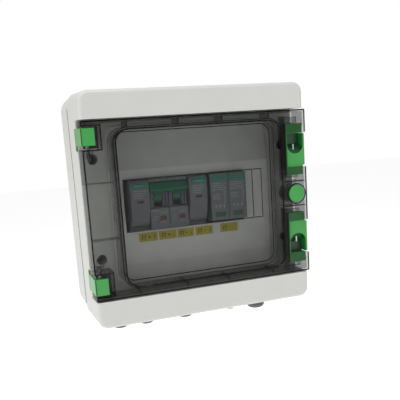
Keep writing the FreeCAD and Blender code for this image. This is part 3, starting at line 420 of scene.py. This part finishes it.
def print_on_fuses(materials):
    """A teal head, rows of small marks and a dark bar by the lens; they stand for the maker's print."""
    row_height = 0.8
    for where, middle in FUSE_MIDDLES.items():
        body = f"fuse_carrier_{where}"
        head = bmesh.new()
        left, right = middle - 7.4, middle + 8.0
        add_mark(head, left, right, 15.0, 18.35, FUSE_FRONT)
        add_mark(head, left, right, 18.38, 20.6, FUSE_FRONT, FUSE_FRONT - 0.93)
        detail_piece(f"fuse_head_{where}", body, head, materials["print_teal"])
        small = bmesh.new()
        for row, z in enumerate((12.8, 10.6, 8.6, 6.6)):
            dashes(small, middle - 5.6, middle + 5.8 - row, z, row_height, FUSE_FRONT, FINE_PRINT[row])
        dashes(small, middle - 4.4, middle + 4.4, 17.3, 0.7, FUSE_FRONT + 0.05, (3, 1, 6, 1, 3))
        detail_piece(f"fuse_print_{where}", body, small, materials["print_pale"])
        bar = bmesh.new()
        add_mark(bar, middle + 0.3, middle + 3.0, 1.9, 4.1, FUSE_FRONT - 0.32)
        detail_piece(f"fuse_lens_mark_{where}", body, bar, materials["black_print_and_painted_shade"])


def print_on_cartridges(materials):
    """A teal head over rows of small marks and a column of signs on each surge cartridge."""
    rise, row_height = DEVICE_FRONT - 0.5, 0.7
    for where, middle in SURGE_MIDDLES.items():
        body = f"surge_cartridge_{where}"
        head = bmesh.new()
        add_mark(head, middle - 8.2, middle + 8.2, 15.6, 20.6, DEVICE_FRONT)
        detail_piece(f"surge_head_{where}", body, head, materials["print_teal"])
        small = bmesh.new()
        for row, z in enumerate((12.8, 10.8, 8.8, 6.8, 2.6, 0.6, -1.4)):
            right = middle + (6.6 if row < 4 else 1.0)
            dashes(small, middle - 6.8, right, z, row_height, rise, FINE_PRINT[(row + 1) % 4])
        for row in range(6):
            dashes(small, middle + 4.2, middle + 6.8, 4.6 - row * 2.0, row_height, rise, (3, 1, 2))
        for x in (middle - 4.0, middle, middle + 4.2):
            add_mark(small, x - 0.35, x + 0.35, -10.6, -6.8, rise)
            add_mark(small, x - 1.5, x + 1.5, -9.0, -8.4, rise)
        detail_piece(f"surge_print_{where}", body, small, materials["print_pale"])


def print_on_breaker(materials):
    """Small marks on each pole, and a guard at both sides of each toggle lever."""
    small = bmesh.new()
    row_height = 0.7
    for x in POLE_MIDDLES:
        dashes(small, x - 7.4, x - 1.9, -6.6, 0.8, DEVICE_FRONT, (4, 1, 2))
        dashes(small, x + 0.4, x + 7.0, -8.4, row_height, DEVICE_FRONT, FINE_PRINT[0])
        dashes(small, x - 6.2, x - 1.8, -12.0, row_height, DEVICE_FRONT - 0.5, (1, 1, 4))
        dashes(small, x - 6.2, x - 1.8, -14.6, row_height, DEVICE_FRONT - 0.5, (3, 1, 2))
        dashes(small, x + 0.2, x + 5.4, -17.6, row_height, DEVICE_FRONT, FINE_PRINT[2])
        add_mark(small, x - 0.4, x + 0.4, 20.4, 22.0, DEVICE_FRONT)
    detail_piece("breaker_print", "enclosure", small, materials["print_pale"])
    guards = bmesh.new()
    thick, back, low, high = 1.2, -63.2, -4.0, 9.5
    front_low, front_high = -65.6, -66.9
    for left in [middle + offset for middle in POLE_MIDDLES for offset in (-8.2, 7.0)]:
        right = left + thick
        add_block(guards, [
            (left, front_low, low), (right, front_low, low), (right, front_high, high),
            (left, front_high, high), (left, back, low), (right, back, low), (right, back, high + 1.0),
            (left, back, high + 1.0)])
    detail_piece("breaker_guards", "enclosure", guards, materials["module_grey"], 0.25 * MM)


def print_on_labels(materials):
    """Polarity signs and bars on the yellow markers, in place of circuit names."""
    marks = bmesh.new()
    middle, tall = -31.0, 2.0
    low, high = middle - tall, middle + tall
    for index, (start, end) in enumerate(LABEL_SPANS):
        width = end - start
        for step in range(2):
            left = start + width * 0.16 + step * 2.4
            add_mark(marks, left, left + 0.8, low, high, LABEL_FRONT)
            add_mark(marks, left, left + 1.9, middle + 1.3, high, LABEL_FRONT)
        if index == len(LABEL_SPANS) - 1:
            continue
        sign, bar = start + width * 0.56, start + width * 0.84
        add_mark(marks, sign - 1.3, sign + 1.3, middle - 0.35, middle + 0.35, LABEL_FRONT)
        if index < 2:
            add_mark(marks, sign - 0.35, sign + 0.35, middle - 1.3, middle + 1.3, LABEL_FRONT)
        bar_top = high if index in (0, 3) else middle + 0.4
        add_mark(marks, bar - 0.4, bar + 0.4, low, bar_top, LABEL_FRONT)
    detail_piece("label_marks", "enclosure", marks, materials["black_print_and_painted_shade"])


# ---------------------------------------------------------------- lines along edges

def tube(work, points, radius, closed=False, sides=8):
    """A round bead along a line of points."""
    spots = [Vector(point) * MM for point in points]
    count = len(spots)
    rings = []
    for index, spot in enumerate(spots):
        before = spots[index - 1] if closed or index else spot
        after = spots[(index + 1) % count] if closed or index < count - 1 else spot
        along = (after - before).normalized()
        reference = Vector((0.0, 1.0, 0.0)) if abs(along.y) < 0.9 else Vector((1.0, 0.0, 0.0))
        aside = along.cross(reference).normalized()
        over = along.cross(aside)
        rings.append([work.verts.new(spot + (aside * math.cos(math.tau * step / sides)
                                             + over * math.sin(math.tau * step / sides)) * radius * MM)
                      for step in range(sides)])
    pairs = list(zip(rings, rings[1:])) + ([(rings[-1], rings[0])] if closed else [])
    for ring, follower in pairs:
        for step in range(sides):
            ahead = (step + 1) % sides
            work.faces.new((ring[step], ring[ahead], follower[ahead], follower[step]))
    if not closed:
        work.faces.new(rings[0])
        work.faces.new(rings[-1][::-1])


def rounded_loop(x0, z0, x1, z1, corner, rise, steps=8):
    """The points of a rectangle with round corners at one rise."""
    points = []
    for cx, cz, start in ((x1 - corner, z0 + corner, -90), (x1 - corner, z1 - corner, 0),
                          (x0 + corner, z1 - corner, 90), (x0 + corner, z0 + corner, 180)):
        for step in range(steps + 1):
            turn = math.radians(start + 90 * step / steps)
            points.append((cx + corner * math.cos(turn), -rise, cz + corner * math.sin(turn)))
    return points


def window_loop(grow, rise):
    """A line round the door's sunk window, larger all round by grow."""
    left, low, right, top, corner = WINDOW
    return rounded_loop(left - grow, low - grow, right + grow, top + grow, corner + grow, rise)


def door_edge_lines(materials):
    """Dark beads of painted shade along the smoked door's edges, which look black because light is trapped
    in them.
    """
    inset, gap, bold, fine = 0.5, 0.7, 0.62, 0.42
    left, low, right, top = DOOR_EDGES
    left, low, right, top = left + inset, low + inset, right - inset, top - inset
    front, back, behind_plate = DOOR_FRONT - 0.6, DOOR_FRONT - 18.5, DOOR_FRONT - 2.4
    near, far, reach = CLIP_OPENING
    near, far, reach = near - 0.6, far + 0.6, reach + 0.6
    lower_latch, upper_latch = LATCH_WINDOWS
    lines = bmesh.new()
    for run in (((left, -near), (left, near)),
                ((right, low), (right, lower_latch[0] - gap)),
                ((right, lower_latch[1] + gap), (right, upper_latch[0] - gap)),
                ((right, upper_latch[1] + gap), (right, top)),
                ((left, top), (right, top)), ((left, low), (right, low)),
                ((left, far + 0.1), (left, top)), ((left, -far - 0.1), (left, low))):
        tube(lines, [(x, -front, z) for x, z in run], bold)
    for side in (-1, 1):
        notch = ((left, side * near), (reach, side * near), (reach, side * far), (left, side * far))
        tube(lines, [(x, -front, z) for x, z in notch], bold)
        tube(lines, [(x, -back, z) for x, z in notch], fine)
        for x, z in notch[1:3]:
            tube(lines, ((x, -front, z), (x, -back, z)), fine)
    detail_piece("door_outline_painted_shade", "door", lines, materials["smoked_edge_painted_shade"])

    # painted shade: dark beads round the sunk window, along the ribs behind the plate and the latch guides,
    # and round the button
    rims = bmesh.new()
    for grow, rise, radius in ((0.6, 95.9, bold), (-1.5, 76.4, fine), (2.3, 94.2, 0.32)):
        tube(rims, window_loop(grow, rise), radius, closed=True)
    pan_side, pan_end, latch_guide = WINDOW[2] + 2.6, WINDOW[3] + 2.5, 82.6
    ribs = [((x, pan_end), (x, top - 1.0), fine) for x in (-63.0, -18.0, 22.5, 67.5)]
    ribs += [((x, -pan_end), (x, low + 1.0), fine) for x in (-63.0, -19.0, 21.0, 66.0)]
    ribs += [((pan_side, z), (102.0, z), fine + 0.1) for z in (10.6, -12.2)]
    ribs += [((pan_side, z), (latch_guide, z), fine) for z in (38.0, -40.0)]
    for start, end, radius in ribs:
        tube(rims, [(x, -behind_plate, z) for x, z in (start, end)], radius)
    for start, end in ((12.4, 70.2), (-14.4, -72.4)):
        tube(rims, ((latch_guide, -94.8, start), (latch_guide, -94.8, end)), 0.3)
    x, z = BUTTON
    around, steps = 9.1, 40
    turns = [math.tau * step / steps for step in range(steps)]
    tube(rims, [(x + around * math.cos(turn), -96.2, z + around * math.sin(turn)) for turn in turns],
         0.55, closed=True)
    detail_piece("door_rims_painted_shade", "door", rims, materials["smoked_edge_painted_shade"])


def enclosure_lines(materials):
    """The lip of the seal between the halves, dark enough to paint the shade in the seam, and black blocks
    of painted shade in the gaps at the hinge clips and round the blank covers.
    """
    # a dark grey bead for the seal's lip between the halves, which also paints the shade in the seam
    bead = bmesh.new()
    half_width, half_height, corner, seam = 102.75, 101.25, 14.6, 42.9
    tube(bead, rounded_loop(-half_width, -half_height, half_width, half_height, corner, seam, 12),
         0.62, closed=True)
    detail_piece("seal_lip_and_seam_shade", "enclosure", bead, materials["seam_grey"])
    # painted shadow: black strips at the door's edge by each hinge clip and black plates inside the clip
    # openings
    gaps = bmesh.new()
    for side in (-1, 1):
        low, high = sorted((side * 56.2, side * 69.6))
        add_mark(gaps, -101.75, -100.95, low, high, DOOR_FRONT)
        low, high = sorted((side * 53.2, side * 70.9))
        left, right = -99.4, -86.6
        add_block(gaps, slab(((left, low), (right, low), (right, high), (left, high)), 88.6, 88.0))
    detail_piece("clip_gap_painted_shade", "enclosure", gaps, materials["black_print_and_painted_shade"])
    # painted shade: black blocks fill the slots round the blank covers
    seams = bmesh.new()
    top, low, width = 22.47, -24.27, 0.84
    for start, end in BLANK_SPANS:
        right, turn = end - 0.03, end - 0.9
        for x0, x1, z0, z1 in ((right - width, right, low, top), (start, turn, top - width, top),
                               (start, turn, low, low + width)):
            outline = ((x0, z0), (x1, z0), (x1, z1), (x0, z1))
            add_block(seams, slab(outline, PANEL_FRONT - 0.2, PANEL_FRONT - 1.6))
    detail_piece("blank_seam_painted_shade", "enclosure", seams, materials["black_print_and_painted_shade"])


# ---------------------------------------------------------------- turned and fluted pieces

def turned(work, centre, profile, sides=48, axis="z"):
    """Turns a closed profile of (radius, height) points round an upright or outward line."""
    rings = []
    for radius, height in profile:
        ring = []
        for step in range(sides):
            turn = math.tau * step / sides
            across, over = radius * math.cos(turn), radius * math.sin(turn)
            spot = ((centre[0] + across, centre[1] + over, centre[2] + height) if axis == "z"
                    else (centre[0] + across, centre[1] - height, centre[2] + over))
            ring.append(work.verts.new([c * MM for c in spot]))
        rings.append(ring)
    for ring, after in zip(rings, rings[1:] + rings[:1]):
        for step in range(sides):
            follow = (step + 1) % sides
            work.faces.new((ring[step], ring[follow], after[follow], after[step]))


def flute_corners(x, dome, low, turn):
    """The corners of one grip flute, which runs up the side of a dome nut at the given turn."""
    out_x, out_y = math.cos(turn), math.sin(turn)
    foot, shoulder = low + dome * 0.46, -109.9
    corners = []
    for radius in (dome + 0.32, dome - 0.4):
        for height, half, signs in ((foot, 0.38, (-1, 1)), (shoulder, 0.5, (1, -1))):
            for sign in signs:
                aside = half * sign
                corners.append((x + out_x * radius - out_y * aside,
                                -GLAND_RISE + out_y * radius + out_x * aside, height))
    return corners


def gland_details(materials):
    """Grip flutes round each dome nut, and thread rings on the body."""
    first_ring, pitch, ring_count = -97.6, 1.25, 5
    for size, (places, dome, low, thread, flute_count) in GLANDS.items():
        flutes, threads = bmesh.new(), bmesh.new()
        root, crest = thread - 0.2, thread + 0.12
        for x in places:
            for step in range(flute_count):
                add_block(flutes, flute_corners(x, dome, low, math.tau * step / flute_count))
            for ring in range(ring_count):
                turned(threads, (x, -GLAND_RISE, first_ring + ring * pitch),
                       [(root, 0.0), (crest, 0.3), (crest, 0.45), (root, 0.75)], 40)
        detail_piece(f"gland_flutes_{size}", "enclosure", flutes, materials["gland_grey"], 0.12 * MM)
        detail_piece(f"gland_threads_{size}", "enclosure", threads, materials["gland_grey"])


def fuse_details(materials):
    """Bright caps on both ends of the fuse links."""
    inner, edge, outer = 4.6, 5.1, 5.17
    for where, middle in FUSE_MIDDLES.items():
        caps = bmesh.new()
        for low, high in ((-16.75, -8.0), (9.6, 18.35)):
            length = high - low
            turned(caps, (middle, -LINK_RISE, low),
                   [(inner, 0.0), (edge, 0.25), (outer, 0.6), (outer, length - 0.6),
                    (edge, length - 0.2), (inner, length)])
        detail_piece(f"fuse_caps_{where}", f"fuse_carrier_{where}", caps, materials["tin"])


def wire_details(materials):
    """Ferrules where each lead goes into its terminal."""
    ferrules = bmesh.new()
    inner, mouth, outer = 2.15, 2.7, 2.9
    upper, lower = (*FUSE_MIDDLES.values(), *POLE_MIDDLES), (*POLE_MIDDLES, *SURGE_MIDDLES.values())
    for x in upper:
        turned(ferrules, (x, -TERMINAL_RISE, 42.2),
               [(inner, 0.0), (mouth, 0.5), (outer, 4.0), (inner, 4.6)], 32)
    for x in lower:
        turned(ferrules, (x, -TERMINAL_RISE, -46.8),
               [(inner, 0.0), (outer, 0.6), (mouth, 4.1), (inner, 4.6)], 32)
    detail_piece("wire_ferrules", "enclosure", ferrules, materials["print_pale"])


def floor_details(materials):
    """Moulded rings round the wall holes and gate marks, raised on the floor inside the rear tray."""
    rings = bmesh.new()
    sunk, wall_hole = 3.02, 82.0
    for x in (-wall_hole, wall_hole):
        for z in (-wall_hole, wall_hole):
            turned(rings, (x, 0.0, z), [(2.8, 3.25), (2.8, sunk), (4.8, sunk), (4.8, 3.25)], 48, "y")
    for x in (-60.0, -20.0, 20.0, 60.0):
        for z in (-88.0, 88.0):
            turned(rings, (x, 0.0, z), [(2.0, 3.12), (2.0, 2.9), (2.4, 2.9), (2.4, 3.12)], 32, "y")
    detail_piece("floor_rings", "enclosure", rings, materials["shell_plastic"], 0.05 * MM)


# ---------------------------------------------------------------- stage

def make_stage():
    """A white floor well below the box, which hangs as on a wall, with soft light all round."""
    material, tree, output = new_material("pale_floor")
    broad = noise(tree, place(tree), 0.4, detail=3.0)
    surface = add_node(tree, "ShaderNodeBsdfPrincipled", {
        "Base Color": blend_colour(tree, broad, (0.92, 0.92, 0.92), (0.95, 0.95, 0.95)),
        "Roughness": 0.7, "Emission Color": WHITE, "Emission Strength": 0.43})
    tree.links.new(surface.outputs["BSDF"], output.inputs["Surface"])
    size, level = 6.0, -0.42
    mesh = bpy.data.meshes.new("floor")
    corners = [(-size, -size, level), (size, -size, level), (size, size, level), (-size, size, level)]
    mesh.from_pydata(corners, [], [(0, 1, 2, 3)])
    mesh.materials.append(material)
    floor = bpy.data.objects.new("floor", mesh)
    bpy.context.scene.collection.objects.link(floor)

    world = bpy.data.worlds.new("studio")
    world.use_nodes = True
    tree = world.node_tree
    tree.nodes.clear()
    rays = add_node(tree, "ShaderNodeLightPath")
    glow = add_node(tree, "ShaderNodeBackground", {"Color": WHITE, "Strength": 0.57})
    seen = add_node(tree, "ShaderNodeBackground", {"Color": WHITE, "Strength": 1.0})
    mix = add_node(tree, "ShaderNodeMixShader", {"Fac": rays.outputs["Is Camera Ray"]})
    tree.links.new(glow.outputs["Background"], mix.inputs[1])
    tree.links.new(seen.outputs["Background"], mix.inputs[2])
    output = add_node(tree, "ShaderNodeOutputWorld")
    tree.links.new(mix.outputs["Shader"], output.inputs["Surface"])
    bpy.context.scene.world = world


def add_lamp(name, place_at, aim, size, power):
    """A soft rectangular lamp that points at the aim."""
    lamp = bpy.data.lights.new(name, "AREA")
    lamp.shape = "RECTANGLE"
    lamp.size, lamp.size_y = size
    lamp.energy = power
    thing = bpy.data.objects.new(name, lamp)
    thing.location = place_at
    thing.rotation_euler = (Vector(aim) - Vector(place_at)).to_track_quat("-Z", "Y").to_euler()
    bpy.context.scene.collection.objects.link(thing)


def make_lights():
    """One lamp above, a weak one at each side."""
    middle = (0.0, -0.05, 0.0)
    add_lamp("key", (-0.25, -0.4, 1.4), middle, (1.1, 0.8), 14.0)
    add_lamp("side", (-1.3, -0.2, 0.2), middle, (0.6, 0.9), 3.5)
    add_lamp("fill", (1.2, -1.1, 0.35), middle, (0.9, 0.9), 2.0)


def make_camera():
    """Seen from the left and a little above, with a slight tilt and the frame shifted down."""
    data = bpy.data.cameras.new("camera")
    data.sensor_width = 36.0
    data.lens = 53.47
    data.shift_x = 0.0005
    data.shift_y = 0.1075
    data.clip_start = 0.01
    camera = bpy.data.objects.new("camera", data)
    camera.location = (-0.1787, -0.5857, 0.0599)
    camera.rotation_euler = Euler([math.radians(turn) for turn in (79.548, 3.717, -20.105)])
    bpy.context.scene.collection.objects.link(camera)
    bpy.context.scene.camera = camera


# ---------------------------------------------------------------- build

# radius of the rounded edges, in millimetres, of the nodes that show them
ROUNDING = {
    "base_casing": 0.5, "front_shell": 0.5, "door": 0.5, "dead_front": 0.35,
    "hinge_clip_upper": 0.35, "hinge_clip_lower": 0.35, "latch_upper": 0.35, "latch_lower": 0.35,
    "release_button": 0.3, "latch_plate_upper": 0.2, "latch_plate_lower": 0.2, "latch_keepers": 0.4,
    "fuse_base_left": 0.35, "fuse_base_right": 0.35, "fuse_carrier_left": 0.35,
    "fuse_carrier_right": 0.35, "breaker_body": 0.35, "breaker_toggle": 0.5, "surge_base": 0.35,
    "surge_cartridge_left": 0.3, "surge_cartridge_right": 0.3, "din_rail": 0.15, "circuit_labels": 0.1,
    "earth_bar": 0.3, "earth_bar_feet": 0.4,
    "gland_bodies_small": 0.4, "gland_bodies_large": 0.4, "gland_locknuts_small": 0.4,
    "gland_locknuts_large": 0.4, "drain_plug": 0.4,
}


def build():
    """Sets the studio up, gives every node its material and adds the details."""
    bpy.context.scene.view_settings.view_transform = "Standard"
    make_camera()
    make_stage()
    make_lights()
    materials = make_materials()
    for node, thing in NODES.items():
        thing.data.materials.clear()
        thing.data.materials.append(materials[LOOKS.get(node, SLOT_OF[node])])
    for node, width in ROUNDING.items():
        moulded_copy(node, width * MM, materials)
    print_on_fuses(materials)
    print_on_cartridges(materials)
    print_on_breaker(materials)
    print_on_labels(materials)
    gland_details(materials)
    fuse_details(materials)
    wire_details(materials)
    floor_details(materials)
    door_edge_lines(materials)
    enclosure_lines(materials)


build()
